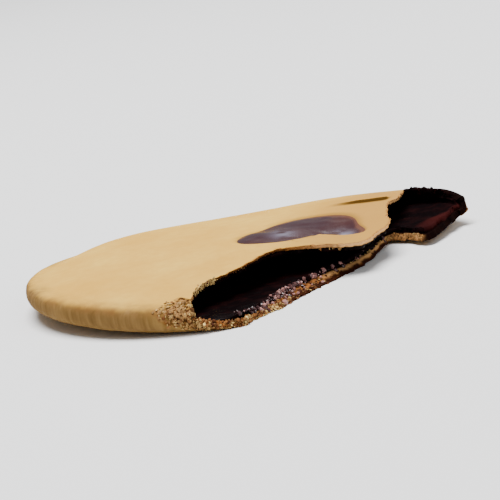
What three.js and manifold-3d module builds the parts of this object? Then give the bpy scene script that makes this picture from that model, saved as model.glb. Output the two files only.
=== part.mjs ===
// A flat, hollow, round pastry with a thin baked crust, torn open by hand along its near right side.
// Melted brown sugar coats the hollow from floor to roof, and wells up through the navel in the top.
// Millimetres. Z is up and the flat underside lies on Z = 0. X runs right, and Y away from the mouth.
import * as THREE from "three";
import { mergeVertices } from "three/addons/utils/BufferGeometryUtils.js";
import Module from "manifold-3d";

// The whole disc, before it was torn. The rim's round is given as its reach in from the side
const DISC_RADIUS = 57.5;
const RIM_HEIGHT = 6;
const RIM_ROUND = { top: 4, bottom: 2.8 };
const RIM_SQUARENESS = 2.4;
const DOME_RISE = 4.7;
const DOME_FULLNESS = 0.85;
const DOME_WAVE = { height: 0.18, size: 34, seed: 1.3, fade: 3 };
const WALL = { roof: 1.1, floor: 1.5 };

// Where the disc is fuller than a true circle: the direction in degrees, how far, and how narrowly
const FULLER = [
  { at: 25, by: 3.1, narrow: 6 },
  { at: 194, by: 1.6, narrow: 6 },
  { at: 250, by: 3.2, narrow: 8 },
];
const OUTLINE_WAVE = { height: 0.35, count: 5, phase: 1 };

// The rim is tallest beside the mouth and lowest opposite to it
const TALLEST = { at: 320, by: 0.45 };
const RIM_WAVE = { height: 0.12, count: 7 };

// The disc set in a slight bow as it cooled: its left and right sides lift beyond a flat middle
const FLAT_HALF_WIDTH = 16;
const BOW_TURN = 11;
const BOW_RISE = { left: 3.1, right: 2.8 };
const BOW_CURVE = { left: 1.45, right: 1.6 };

// The dent beside the mouth, where the top crust sagged as it was torn
const DENT_AT = new THREE.Vector2(30, -13);
const DENT_SIZE = new THREE.Vector2(15, 18);
const DENT_DEPTH = 0.55;

// The puff on the far left, where the steam lifted the top higher right up to the rim
const PUFF_AT = new THREE.Vector2(-33, 35);
const PUFF_SIZE = 17;
const PUFF_RISE = { height: 1.7, fade: 8 };

// How far round the rim is left, in degrees, along its upper and its lower edge
const NEAR_END = { upper: 253.8, lower: 266, curve: 3 };
const FAR_END = { upper: 18, lower: 12 };
const FRAY = { turn: 0.9, near: 0.03, far: 0.97, seed: 5 };

// The upper crust ends at this share of the way round. Past it only the rim's wall is left with a
// short lip, and the wall's top falls away to `lowest` degrees above its middle
const WALL_ALONE = 0.924;
const LIP = { width: 1.2, least: 0.35, ragged: 0.3, seed: 3 };
const WALL_FALLS = { from: 0.945, lowest: 12 };

// The two torn edges in plan, from the mouth's near corner to its far end
const UPPER_TEAR = [
  [-15.1, -48.2], [-12.3, -42.4], [-8.9, -38.9], [-4.4, -35.6], [-1, -32.2], [2.6, -27.8], [6.3, -24.6],
  [11, -23.5], [18.9, -22.9], [24, -23.9], [28, -23], [30.7, -19.2], [33.4, -13.4], [36, -9.5], [36.8, 2],
  [37.6, 9.8], [40.9, 15.8], [42.4, 23.6], [44.6, 32.1],
];
const LOWER_TEAR = [
  [-2.8, -54.2], [1.2, -50.4], [7.9, -42.1], [14.1, -33.1], [18.8, -26.7], [25.1, -18.9], [30.1, -11.1],
  [33.4, -2.6], [36.4, 5], [39.8, 3], [42.6, -1.8], [44.9, -4.7], [47.6, -3], [51.4, 3.2], [54.2, 8.6],
  [56.6, 12.9],
];

// A tear is jagged from column to column and wavy along its length, and the jags fade at both ends
const JAG = { depth: 0.55, sharp: 0.7, wavy: 0.8, wave: 9, fade: 12 };
const TEAR_SEED = { upper: 1, lower: 2 };

// The torn face slopes in, and does so least at the near corner. Along the lower tear it widens into
// a shelf of bare crumb, around the share `at` of the mouth
const CRUMB_SLOPE = 0.7;
const CORNER_SLOPE = { start: 0.35, rise: 8 };
const SHELF = { least: 0.8, swell: 3.6, at: 0.27, spread: 0.2 };

// The navel: where the crust is open and the sugar shows
const NAVEL_AT = new THREE.Vector2(14.7, -3.4);
const NAVEL_LENGTH = 32.4;
const NAVEL_WIDTH = 22.8;
const NAVEL_TURN = -25.4;
const NAVEL_WOBBLES = [
  { height: 0.31, count: 2, phase: 5.49 },
  { height: 0.17, count: 3, phase: 1.64 },
  { height: 0.115, count: 4, phase: 2.44 },
];
const NAVEL_SINK = 0.4;

// The crease in the top, near the far edge
const CREASE_FROM = new THREE.Vector2(25, 22.8);
const CREASE_TO = new THREE.Vector2(38.8, 18);
const CREASE_WIDTH = 1;
const CREASE_DEPTH = 0.9;
const CREASE_BEND = 0.5;
const CREASE_SWELL = { ends: 0.15, bulge: 0.6 };

// The sugar coat, the air between it and the crust, and how deep the navel's plug joins the coat
const GAP = 0.3;
const SUGAR_THICKNESS = 0.55;
const SUGAR_LUMPS = { height: 0.5, size: 8, roofShare: 0.5, roofSeed: 4, floorSeed: 2 };
const SUGAR_BACK = 1.6;
const PLUG_JOIN = 0.4;

// Rows crowd towards the tears, and the floor's lumps start within a quarter of its width
const ROW_CROWDING = { top: 1.15, floor: 0.8 };
const LUMP_FADE = 4;
const CUT_PAST = 1;
const MERGE_WITHIN = 1e-4;

const radians = THREE.MathUtils.degToRad;
const mix = THREE.MathUtils.lerp;
const smooth = THREE.MathUtils.smoothstep;
const polar = (angle, radius) => new THREE.Vector2(radius * Math.cos(angle), radius * Math.sin(angle));

// A repeatable value from -1 to 1 for a whole number, so that a tear is ragged in the same way every time
const SCRAMBLE = { index: 12.9898, seed: 78.233, scale: 43758.5453 };
function chance(index, seed) {
  const value = Math.sin(index * SCRAMBLE.index + seed * SCRAMBLE.seed) * SCRAMBLE.scale;
  return 2 * (value - Math.floor(value)) - 1;
}

// A smooth unevenness from -1 to 1 with bumps about `size` across: three waves that cross
const WAVES = [
  { x: 0.92, y: 0.31, phase: 1 },
  { x: -0.37, y: 0.83, phase: 2.1 },
  { x: 0.55, y: -0.71, phase: 3.7 },
];
function uneven(x, y, size, seed) {
  const k = (2 * Math.PI) / size;
  const heights = WAVES.map((wave) => Math.sin(k * (wave.x * x + wave.y * y) + wave.phase * seed));
  return (heights[0] + heights[1] + heights[2]) / WAVES.length;
}

// The outer radius of the disc in a direction
function discRadius(angle) {
  let radius = DISC_RADIUS + OUTLINE_WAVE.height * Math.sin(OUTLINE_WAVE.count * angle + OUTLINE_WAVE.phase);
  for (const swell of FULLER) {
    radius += swell.by * Math.max(0, Math.cos(angle - radians(swell.at))) ** swell.narrow;
  }
  return radius;
}

function rimHeight(angle) {
  const swell = TALLEST.by * Math.cos(angle - radians(TALLEST.at));
  return RIM_HEIGHT + swell + RIM_WAVE.height * Math.sin(RIM_WAVE.count * angle);
}

// How far the pastry's bow lifts it at a place in plan
function bow(x, y) {
  const across = x * Math.cos(radians(BOW_TURN)) + y * Math.sin(radians(BOW_TURN));
  const left = Math.max(0, -across - FLAT_HALF_WIDTH) / (DISC_RADIUS - FLAT_HALF_WIDTH);
  const right = Math.max(0, across - FLAT_HALF_WIDTH) / (DISC_RADIUS - FLAT_HALF_WIDTH);
  return BOW_RISE.left * left ** BOW_CURVE.left + BOW_RISE.right * right ** BOW_CURVE.right;
}

// The height of the top: the rim, with a full flat dome on it, dented, puffed, slightly wavy, and bowed
function topHeight(x, y) {
  const angle = Math.atan2(y, x);
  const edge = discRadius(angle) - RIM_ROUND.top;
  const share = Math.max(0, 1 - (x * x + y * y) / (edge * edge));
  const dentX = (x - DENT_AT.x) / DENT_SIZE.x;
  const dentY = (y - DENT_AT.y) / DENT_SIZE.y;
  const dent = DENT_DEPTH * Math.exp(-(dentX * dentX + dentY * dentY));
  const dome = DOME_RISE * share ** DOME_FULLNESS * (1 - dent);
  const away = Math.hypot(x - PUFF_AT.x, y - PUFF_AT.y) / PUFF_SIZE;
  const puff = PUFF_RISE.height * Math.exp(-away * away) * Math.min(1, PUFF_RISE.fade * share);
  const wave = DOME_WAVE.height * uneven(x, y, DOME_WAVE.size, DOME_WAVE.seed);
  const rim = mix(rimHeight(angle), RIM_HEIGHT, share);
  return rim + dome + puff + wave * Math.min(1, DOME_WAVE.fade * share) + bow(x, y);
}

// The angle round the rim at a share `t` of the way from the mouth's near corner to its far end.
// `low` is 0 at the rim's upper edge and 1 at its lower one, and the ends are frayed
function rimAngle(t, low) {
  const ends = smooth(t, FRAY.far, 1) + 1 - smooth(t, 0, FRAY.near);
  const fray = FRAY.turn * chance(Math.round(low * 40), FRAY.seed) * ends;
  const near = mix(NEAR_END.upper, NEAR_END.lower, low ** NEAR_END.curve);
  const far = mix(FAR_END.upper, FAR_END.lower, low);
  return radians(mix(near, far, t) + fray);
}

// A point on the rounded rim. `turn` runs from 90 degrees on top, by 0 at the side, to -90 below,
// and `depths` are the distances under the outer surface at the roof and at the floor
function rimPoint(t, turn, depths) {
  const rise = Math.sin(turn);
  const depth = mix(depths.floor, depths.roof, Math.max(0, rise));
  const round = rise > 0 ? RIM_ROUND.top : RIM_ROUND.bottom;
  const angle = rimAngle(t, (1 - rise) / 2);
  const half = rimHeight(angle) / 2;
  const inset = depth + (round - depth) * (1 - Math.abs(Math.cos(turn)) ** (2 / RIM_SQUARENESS));
  const plan = polar(angle, discRadius(angle) - inset);
  const z = half + (half - depth) * Math.sign(rise) * Math.abs(rise) ** (2 / RIM_SQUARENESS);
  return new THREE.Vector3(plan.x, plan.y, z + bow(plan.x, plan.y));
}

// The highest turn that is left of the rim
const topTurn = (t) => radians(mix(90, WALL_FALLS.lowest, smooth(t, WALL_FALLS.from, 1)));

// A torn edge as a curve in plan, and the ragged point on it at `t`, `back` millimetres into the crust
const upperTear = new THREE.SplineCurve(UPPER_TEAR.map(([x, y]) => new THREE.Vector2(x, y)));
const lowerTear = new THREE.SplineCurve(LOWER_TEAR.map(([x, y]) => new THREE.Vector2(x, y)));
function tearPoint(tear, t, back, index, seed) {
  const point = tear.getPointAt(t);
  const along = tear.getTangentAt(t);
  const ends = Math.min(1, JAG.fade * t, JAG.fade * (1 - t));
  const sharp = JAG.sharp * chance(index, seed);
  const wavy = JAG.wavy * uneven(point.x, point.y, JAG.wave, seed);
  const slope = Math.min(1, CORNER_SLOPE.start + CORNER_SLOPE.rise * t);
  const inward = back * slope - JAG.depth * ends * (sharp + wavy);
  return new THREE.Vector2(point.x - along.y * inward, point.y + along.x * inward);
}

// Where the upper crust ends: at its torn edge, or a short lip inside the wall that stands alone
function upperEnd(t, shoulder, back, index) {
  if (t < WALL_ALONE) return tearPoint(upperTear, t / WALL_ALONE, back, index, TEAR_SEED.upper);
  const lip = Math.max(LIP.least, LIP.width - back) + LIP.ragged * chance(index, LIP.seed);
  const plan = new THREE.Vector2(shoulder.x, shoulder.y);
  return plan.setLength(plan.length() - lip);
}

const shelf = (t) => SHELF.least + SHELF.swell * Math.exp(-(((t - SHELF.at) / SHELF.spread) ** 2));

// One surface of a torn sheet that folds round the rim, as rows of points from the upper tear, over the
// top, round the rim and along the floor to the lower tear. In plan, each column of points runs straight
// from the tear to the rim
function foldedSurface(spec, depths, back, lumps) {
  const { columns, topRows, rimRows, floorRows, from, to } = spec;
  const grid = [];
  for (let i = 0; i <= columns; i++) {
    const t = mix(from, to, i / columns);
    const column = [];
    const shoulder = rimPoint(t, topTurn(t), depths);
    const under = topHeight(shoulder.x, shoulder.y) - shoulder.z;
    const upper = upperEnd(t, shoulder, back.upper(t), i);
    for (let j = 0; j < topRows; j++) {
      const w = 1 - (j / topRows) ** ROW_CROWDING.top;
      const x = mix(shoulder.x, upper.x, w);
      const y = mix(shoulder.y, upper.y, w);
      column.push(new THREE.Vector3(x, y, topHeight(x, y) - under - lumps.roof(x, y)));
    }
    for (let j = 0; j <= rimRows; j++) {
      column.push(rimPoint(t, mix(topTurn(t), -Math.PI / 2, j / rimRows), depths));
    }
    const heel = column[column.length - 1];
    const lower = tearPoint(lowerTear, t, back.lower(t), i, TEAR_SEED.lower);
    for (let j = 1; j <= floorRows; j++) {
      const w = (j / floorRows) ** ROW_CROWDING.floor;
      const x = mix(heel.x, lower.x, w);
      const y = mix(heel.y, lower.y, w);
      const lump = lumps.floor(x, y) * Math.min(1, LUMP_FADE * w);
      column.push(new THREE.Vector3(x, y, depths.floor + bow(x, y) + lump));
    }
    grid.push(column);
  }
  return grid;
}

function geometryFrom(position, index) {
  const geometry = new THREE.BufferGeometry();
  geometry.setAttribute("position", new THREE.Float32BufferAttribute(position, 3));
  geometry.setIndex(index);
  return geometry;
}

// A closed sheet: two folded surfaces joined by the torn faces all the way round
function foldedSheet(outer, inner) {
  const rows = outer[0].length;
  const columns = outer.length;
  const position = [...outer.flat(), ...inner.flat()].flatMap((p) => [p.x, p.y, p.z]);
  const at = (side, i, j) => side * rows * columns + i * rows + j;
  const index = [];
  const quad = (a, b, c, d) => index.push(a, c, b, a, d, c);
  for (let i = 0; i + 1 < columns; i++) {
    for (let j = 0; j + 1 < rows; j++) {
      quad(at(0, i, j), at(0, i, j + 1), at(0, i + 1, j + 1), at(0, i + 1, j));
      quad(at(1, i, j), at(1, i + 1, j), at(1, i + 1, j + 1), at(1, i, j + 1));
    }
    quad(at(0, i, 0), at(0, i + 1, 0), at(1, i + 1, 0), at(1, i, 0));
    quad(at(0, i, rows - 1), at(1, i, rows - 1), at(1, i + 1, rows - 1), at(0, i + 1, rows - 1));
  }
  const last = columns - 1;
  for (let j = 0; j + 1 < rows; j++) {
    quad(at(0, 0, j), at(1, 0, j), at(1, 0, j + 1), at(0, 0, j + 1));
    quad(at(0, last, j), at(0, last, j + 1), at(1, last, j + 1), at(1, last, j));
  }
  return geometryFrom(position, index);
}

// The navel's outline in plan: an uneven oval
function navelEdge(angle) {
  let reach = 1;
  for (const wobble of NAVEL_WOBBLES) {
    reach += wobble.height * Math.sin(wobble.count * angle + wobble.phase);
  }
  const point = new THREE.Vector2((NAVEL_LENGTH / 2) * Math.cos(angle), (NAVEL_WIDTH / 2) * Math.sin(angle));
  point.multiplyScalar(reach).rotateAround(new THREE.Vector2(), radians(NAVEL_TURN));
  return point.add(NAVEL_AT);
}

// A place in the navel: `share` runs from its middle to its outline, which is moved in by `inset`
function navelPoint(angle, share, inset) {
  const step = 0.01;
  const along = new THREE.Vector2().subVectors(navelEdge(angle + step), navelEdge(angle - step));
  const inward = new THREE.Vector2(-along.y, along.x).setLength(inset);
  const point = navelEdge(angle).add(inward).sub(NAVEL_AT);
  return point.multiplyScalar(share).add(NAVEL_AT);
}

// A plug with the navel's outline, between a lower and an upper surface that follow the dome
function navelPlug(inset, below, above) {
  const segments = 48;
  const rings = 4;
  const position = [];
  const add = (p, offset) => position.push(p.x, p.y, topHeight(p.x, p.y) + offset);
  for (const offset of [below, above]) {
    add(NAVEL_AT, offset);
    for (let r = 1; r <= rings; r++) {
      for (let s = 0; s < segments; s++) {
        add(navelPoint((2 * Math.PI * s) / segments, r / rings, inset), offset);
      }
    }
  }
  const layer = 1 + rings * segments;
  const at = (side, r, s) => side * layer + (r === 0 ? 0 : 1 + (r - 1) * segments + (s % segments));
  const index = [];
  const quad = (a, b, c, d) => index.push(a, b, c, a, c, d);
  for (let s = 0; s < segments; s++) {
    index.push(at(1, 0, 0), at(1, 1, s), at(1, 1, s + 1));
    index.push(at(0, 0, 0), at(0, 1, s + 1), at(0, 1, s));
    for (let r = 1; r < rings; r++) {
      quad(at(1, r, s), at(1, r + 1, s), at(1, r + 1, s + 1), at(1, r, s + 1));
      quad(at(0, r, s), at(0, r, s + 1), at(0, r + 1, s + 1), at(0, r + 1, s));
    }
    quad(at(0, rings, s), at(0, rings, s + 1), at(1, rings, s + 1), at(1, rings, s));
  }
  return geometryFrom(position, index);
}

// The crease is cut by a long thin ridge shape, deepest in its middle, that follows the top
function creaseCutter() {
  const steps = 10;
  const side = new THREE.Vector2().subVectors(CREASE_TO, CREASE_FROM);
  side.rotateAround(new THREE.Vector2(), Math.PI / 2).setLength(CREASE_WIDTH / 2);
  const position = [];
  for (let i = 0; i <= steps; i++) {
    const share = i / steps;
    const bulge = Math.sin(Math.PI * share) ** CREASE_SWELL.bulge;
    const swell = mix(CREASE_SWELL.ends, 1, bulge);
    const middle = new THREE.Vector2().lerpVectors(CREASE_FROM, CREASE_TO, share);
    middle.y += CREASE_BEND * Math.sin(2 * Math.PI * share);
    const top = topHeight(middle.x, middle.y);
    const left = middle.clone().addScaledVector(side, swell);
    const right = middle.clone().addScaledVector(side, -swell);
    position.push(left.x, left.y, top + CUT_PAST, right.x, right.y, top + CUT_PAST);
    position.push(middle.x, middle.y, top - CREASE_DEPTH * swell);
  }
  const index = [];
  for (let i = 0; i < steps; i++) {
    for (let j = 0; j < 3; j++) {
      const a = 3 * i + j;
      const b = 3 * i + ((j + 1) % 3);
      index.push(a, b, b + 3, a, b + 3, a + 3);
    }
  }
  index.push(0, 2, 1, 3 * steps, 3 * steps + 1, 3 * steps + 2);
  return geometryFrom(position, index);
}

const wasm = await Module();
wasm.setup();

// A closed mesh as a solid that can be cut and joined, and the way back
function solid(geometry) {
  const merged = mergeVertices(geometry, MERGE_WITHIN);
  const vertProperties = new Float32Array(merged.attributes.position.array);
  const triVerts = new Uint32Array(merged.index.array);
  return new wasm.Manifold(new wasm.Mesh({ numProp: 3, vertProperties, triVerts }));
}
function geometryOf(body) {
  const mesh = body.getMesh();
  const geometry = geometryFrom([...mesh.vertProperties], [...mesh.triVerts]);
  geometry.computeVertexNormals();
  return geometry;
}

const NO_LUMPS = { roof: () => 0, floor: () => 0 };

// The crust: one baked sheet, a little thicker where the floor's crumb shows, open at the navel
// and creased on top
function crustSolid() {
  const spec = { columns: 96, topRows: 9, rimRows: 6, floorRows: 4, from: 0, to: 1 };
  const outer = foldedSurface(spec, { roof: 0, floor: 0 }, { upper: () => 0, lower: () => 0 }, NO_LUMPS);
  const inner = foldedSurface(spec, WALL, { upper: () => CRUMB_SLOPE, lower: shelf }, NO_LUMPS);
  const window = solid(navelPlug(0, -WALL.roof - CUT_PAST, CUT_PAST));
  return solid(foldedSheet(outer, inner)).subtract(window).subtract(solid(creaseCutter()));
}

// The sugar: a lumpy coat on the whole inside of the crust, with a plug that fills the navel
// to just under the top
function sugarSolid() {
  const spec = { columns: 64, topRows: 8, rimRows: 4, floorRows: 4, from: 0.022, to: 0.985 };
  const outerDepths = { roof: WALL.roof + GAP, floor: WALL.floor + GAP };
  const innerDepths = {
    roof: outerDepths.roof + SUGAR_THICKNESS,
    floor: outerDepths.floor + SUGAR_THICKNESS,
  };
  const back = { upper: () => CRUMB_SLOPE + SUGAR_BACK, lower: (t) => shelf(t) + SUGAR_BACK };
  const lump = (x, y, seed) => (SUGAR_LUMPS.height * (1 + uneven(x, y, SUGAR_LUMPS.size, seed))) / 2;
  const lumpy = {
    roof: (x, y) => SUGAR_LUMPS.roofShare * lump(x, y, SUGAR_LUMPS.roofSeed),
    floor: (x, y) => lump(x, y, SUGAR_LUMPS.floorSeed),
  };
  const outer = foldedSurface(spec, outerDepths, back, NO_LUMPS);
  const inner = foldedSurface(spec, innerDepths, back, lumpy);
  const plug = solid(navelPlug(GAP, -WALL.roof - GAP - PLUG_JOIN, -NAVEL_SINK));
  return solid(foldedSheet(outer, inner)).add(plug);
}

const crust = new THREE.Mesh(
  geometryOf(crustSolid()),
  new THREE.MeshStandardMaterial({ color: 0xd2b184, roughness: 0.75, metalness: 0 }),
);
crust.name = "crust";
const sugar = new THREE.Mesh(
  geometryOf(sugarSolid()),
  new THREE.MeshStandardMaterial({ color: 0x24100b, roughness: 0.2, metalness: 0 }),
);
sugar.name = "brown_sugar";

// The origin is the middle of the underside of the box round the crust
const pastry = new THREE.Group();
pastry.add(crust, sugar);
const middle = new THREE.Box3().setFromObject(crust).getCenter(new THREE.Vector3());
crust.position.set(-middle.x, -middle.y, 0);
sugar.position.set(-middle.x, -middle.y, 0);
export default pastry;
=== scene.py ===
import bpy
import numpy as np
from mathutils import Matrix, Vector


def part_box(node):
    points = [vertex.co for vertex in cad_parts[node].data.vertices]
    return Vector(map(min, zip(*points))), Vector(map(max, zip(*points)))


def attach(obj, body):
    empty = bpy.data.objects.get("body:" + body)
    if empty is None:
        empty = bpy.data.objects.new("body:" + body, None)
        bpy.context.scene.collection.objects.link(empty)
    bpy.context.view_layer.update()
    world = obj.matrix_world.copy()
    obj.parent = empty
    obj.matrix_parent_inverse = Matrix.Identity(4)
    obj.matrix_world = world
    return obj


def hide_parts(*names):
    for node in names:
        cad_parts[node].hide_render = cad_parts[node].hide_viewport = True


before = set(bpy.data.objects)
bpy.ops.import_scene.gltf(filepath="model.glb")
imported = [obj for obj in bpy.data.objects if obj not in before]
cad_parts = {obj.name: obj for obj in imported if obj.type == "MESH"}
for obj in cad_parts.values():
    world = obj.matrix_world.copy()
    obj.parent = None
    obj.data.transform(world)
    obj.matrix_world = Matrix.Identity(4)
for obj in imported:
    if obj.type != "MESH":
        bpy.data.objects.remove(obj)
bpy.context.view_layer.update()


# The crust. The real one is a disc of wheat dough rolled round a lump of brown sugar, which puffs up
# hollow on the hot iron and sets as a thin, dry, matt shell, browned round its rim. It was torn open
# by hand, so it is one sheet that folds round the rim from an upper torn edge to a lower one.
# Sizes are in millimetres and are those of the solids.
DISC_RADIUS = 57.5
DISC_SWELLS = [(3.1, np.radians(25), 6), (1.6, np.radians(194), 6), (3.2, np.radians(250), 8)]
DISC_WAVES = {"height": 0.35, "count": 5, "phase": 1}
RIM_HEIGHT = 6
RIM_TALLER = {"rise": 0.45, "toward": np.radians(320)}
RIM_WAVES = {"height": 0.12, "count": 7}
RIM_ROUND = {"top": 4, "bottom": 2.8}
RIM_SQUARENESS = 2.4
RIM_ENDS = {"near": (253.8, 266), "far": (18, 12)}
DOME_RISE = 4.7
DOME_FULLNESS = 0.85
DENT = {"depth": 0.55, "at": (30, -13), "half": (15, 18)}
PUFF = {"rise": 1.7, "at": (-33, 35), "half": (17, 17)}
TOP_WAVES = {"height": 0.18, "length": 34, "seed": 1.3}
FLAT_HALF_WIDTH = 16
BOW_TURN = np.radians(11)
BOW_RISE = {"left": 3.1, "right": 2.8}
BOW_CURVE = {"left": 1.45, "right": 1.6}
WALL = {"roof": 1.1, "floor": 1.5}
WALL_ALONE = 0.924
WALL_TOP = {"turns": (90, 12), "falls": (0.945, 1)}
UPPER_TEAR = [
    (-15.1, -48.2), (-12.3, -42.4), (-8.9, -38.9), (-4.4, -35.6), (-1, -32.2), (2.6, -27.8), (6.3, -24.6),
    (11, -23.5), (18.9, -22.9), (24, -23.9), (28, -23), (30.7, -19.2), (33.4, -13.4), (36, -9.5), (36.8, 2),
    (37.6, 9.8), (40.9, 15.8), (42.4, 23.6), (44.6, 32.1),
]
LOWER_TEAR = [
    (-2.8, -54.2), (1.2, -50.4), (7.9, -42.1), (14.1, -33.1), (18.8, -26.7), (25.1, -18.9), (30.1, -11.1),
    (33.4, -2.6), (36.4, 5), (39.8, 3), (42.6, -1.8), (44.9, -4.7), (47.6, -3), (51.4, 3.2), (54.2, 8.6),
    (56.6, 12.9),
]
TEAR_JAGS = [(0.3, 2.6, 11), (0.26, 1.1, 12), (0.16, 0.5, 13)]
CRUMB_SLOPE = 0.7
SHELF = {"ends": 0.8, "swell": 3.6, "middle": 0.27, "reach": 0.2}
NAVEL_AT = (14.7, -3.4)
NAVEL_HALF = (16.2, 11.4)
NAVEL_TURN = np.radians(-25.4)
NAVEL_WAVES = [(0.31, 2, 5.49), (0.17, 3, 1.64), (0.115, 4, 2.44)]
NAVEL_LIP = {"rise": 0.16, "at": 1.08, "reach": 0.07}
NAVEL_DISH = {"depth": 0.85, "edge": (0.9, 1.02)}
CREASE = {"from": (22.5, 23.6), "to": (39.2, 17.9), "depth": 0.6, "lip": 0.55, "bend": 0.5}
DRAWN_IN = {"navel": 0.78, "crease": 0.65}
ROW_SPACING = {"top": 1.7, "floor": 0.6}
LOWEST_CRUST = 0.02


def smooth(value, low, high):
    """A soft step: 0 below `low`, 1 above `high`, and 3s^2 - 2s^3 of the share s between them."""
    s = np.clip((value - low) / (high - low), 0, 1)
    return s * s * (3 - 2 * s)


def mix(a, b, share):
    return a + (b - a) * share


def between(value, rise, fall):
    """1 between two soft steps, each given as (low, high): up over `rise`, and down over `fall`."""
    return smooth(value, *rise) * (1 - smooth(value, *fall))


def bell(value, middle, half):
    """A bell curve: 1 at `middle`, 1/e at `half` to either side of it, and 0 far from it."""
    return np.exp(-(((value - middle) / half) ** 2))


def hill(x, y, place):
    """A round hill from 0 to 1, given by its middle and its half widths along x and y."""
    return bell(x, place["at"][0], place["half"][0]) * bell(y, place["at"][1], place["half"][1])


def unit(vectors):
    return vectors / np.linalg.norm(vectors, axis=-1, keepdims=True)


def hashed(i, j, k, seed):
    """A repeatable value from 0 to 1 for each whole-numbered cell: the fraction of a large sine."""
    value = np.sin(i * 127.1 + j * 311.7 + k * 74.7 + seed * 19.19) * 43758.5453
    return value - np.floor(value)


def noise(points, size, seed):
    """Soft noise from -1 to 1 with lumps `size` across: hashed corners of a cubic lattice, blended."""
    place = np.asarray(points, float) / size
    cell = np.floor(place)
    step = place - cell
    step = step * step * (3 - 2 * step)
    total = 0
    for corner in np.ndindex(2, 2, 2):
        weight = np.prod(np.where(corner, step, 1 - step), axis=-1)
        total = total + weight * hashed(*np.moveaxis(cell + corner, -1, 0), seed)
    return 2 * total - 1


def layered(points, *layers):
    """Noise of several sizes, summed. Each layer has its height, its size and its seed."""
    return sum(height * noise(points, size, seed) for height, size, seed in layers)


def on_line(value):
    """Places on one line, for noise that changes along it alone."""
    return np.stack([value, 0 * value, 0 * value], -1)


def uneven(x, y, size, seed):
    """A slow unevenness from -1 to 1: the mean of three sine waves that cross, each `size` long."""
    k = 2 * np.pi / size
    first = np.sin(k * (0.92 * x + 0.31 * y) + seed)
    second = np.sin(k * (-0.37 * x + 0.83 * y) + 2.1 * seed)
    third = np.sin(k * (0.55 * x - 0.71 * y) + 3.7 * seed)
    return (first + second + third) / 3


def disc_radius(angle):
    """The disc's outer radius: a circle, fuller on the left and at both ends of the tear, with waves."""
    radius = DISC_RADIUS
    for rise, toward, sharpness in DISC_SWELLS:
        radius = radius + rise * np.maximum(0, np.cos(angle - toward)) ** sharpness
    return radius + DISC_WAVES["height"] * np.sin(DISC_WAVES["count"] * angle + DISC_WAVES["phase"])


def rim_height(angle):
    """The rim's height: tallest beside the mouth, with seven low waves."""
    taller = RIM_TALLER["rise"] * np.cos(angle - RIM_TALLER["toward"])
    return RIM_HEIGHT + taller + RIM_WAVES["height"] * np.sin(RIM_WAVES["count"] * angle)


def bow(x, y):
    """How far the left and right sides lift beyond the flat middle, as a power of the distance."""
    across = x * np.cos(BOW_TURN) + y * np.sin(BOW_TURN)
    reach = DISC_RADIUS - FLAT_HALF_WIDTH
    left = np.maximum(0, -across - FLAT_HALF_WIDTH) / reach
    right = np.maximum(0, across - FLAT_HALF_WIDTH) / reach
    return BOW_RISE["left"] * left ** BOW_CURVE["left"] + BOW_RISE["right"] * right ** BOW_CURVE["right"]


def top_height(x, y):
    """The top: the rim's height, an oblate dome with a dent beside the mouth, a puff on the far left
    where steam lifted it, and the bow."""
    angle = np.arctan2(y, x)
    edge = disc_radius(angle) - RIM_ROUND["top"]
    share = np.maximum(0, 1 - (x * x + y * y) / edge**2)
    dome = DOME_RISE * share**DOME_FULLNESS * (1 - DENT["depth"] * hill(x, y, DENT))
    puff = PUFF["rise"] * hill(x, y, PUFF) * np.minimum(1, 8 * share)
    wave = TOP_WAVES["height"] * uneven(x, y, TOP_WAVES["length"], TOP_WAVES["seed"])
    wave = wave * np.minimum(1, 3 * share)
    return mix(rim_height(angle), RIM_HEIGHT, share) + dome + puff + wave + bow(x, y)


def rim_angle(t, low):
    """The angle round the rim at share t of it, frayed where t nears 0 or 1. low runs down the side."""
    ends = 0.3 * smooth(t, 0.97, 1) + 1 - smooth(t, 0, 0.03)
    fray = layered(on_line(low * 9 + 0 * t), (1.1, 1, 5), (0.7, 0.3, 6)) * ends
    near = mix(*RIM_ENDS["near"], low**3)
    far = mix(*RIM_ENDS["far"], low)
    return np.radians(mix(near, far, t) + fray)


def rim_point(t, turn, depths):
    """A point on the rim's squarish round, from turn 90 degrees on top to -90 below, `depths` deep."""
    rise = np.sin(turn)
    depth = mix(depths["floor"], depths["roof"], np.maximum(0, rise))
    corner = np.where(rise > 0, RIM_ROUND["top"], RIM_ROUND["bottom"])
    angle = rim_angle(t, (1 - rise) / 2)
    half = rim_height(angle) / 2
    inset = depth + (corner - depth) * (1 - np.abs(np.cos(turn)) ** (2 / RIM_SQUARENESS))
    radius = disc_radius(angle) - inset
    x, y = radius * np.cos(angle), radius * np.sin(angle)
    z = half + (half - depth) * np.sign(rise) * np.abs(rise) ** (2 / RIM_SQUARENESS)
    return np.stack(np.broadcast_arrays(x, y, z + bow(x, y)), -1)


def top_turn(t):
    """The highest turn left of the rim: all of it, falling to 12 degrees at the far end."""
    return np.radians(mix(*WALL_TOP["turns"], smooth(t, *WALL_TOP["falls"])))


def read_curve(at, places, curve):
    """Points of a plane curve, read between its rows at new places along it."""
    return np.stack([np.interp(at, places, curve[:, axis]) for axis in (0, 1)], -1)


def tear_curve(points):
    """A uniform Catmull-Rom curve through the points, resampled evenly along its length."""
    p = np.array(points, float)
    last = len(p) - 1
    u = np.linspace(0, last, 60 * last + 1)
    i = np.minimum(u.astype(int), last - 1)
    w = (u - i)[:, None]
    before, here, after = p[np.maximum(i - 1, 0)], p[i], p[i + 1]
    v0, v1 = (after - before) / 2, (p[np.minimum(i + 2, last)] - here) / 2
    cubed, squared = 2 * here - 2 * after + v0 + v1, 3 * after - 3 * here - 2 * v0 - v1
    fine = cubed * w**3 + squared * w**2 + v0 * w + here
    length = np.append(0, np.cumsum(np.hypot(*np.diff(fine, axis=0).T)))
    even = np.linspace(0, length[-1], 2000)
    return read_curve(even, length, fine)


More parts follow.
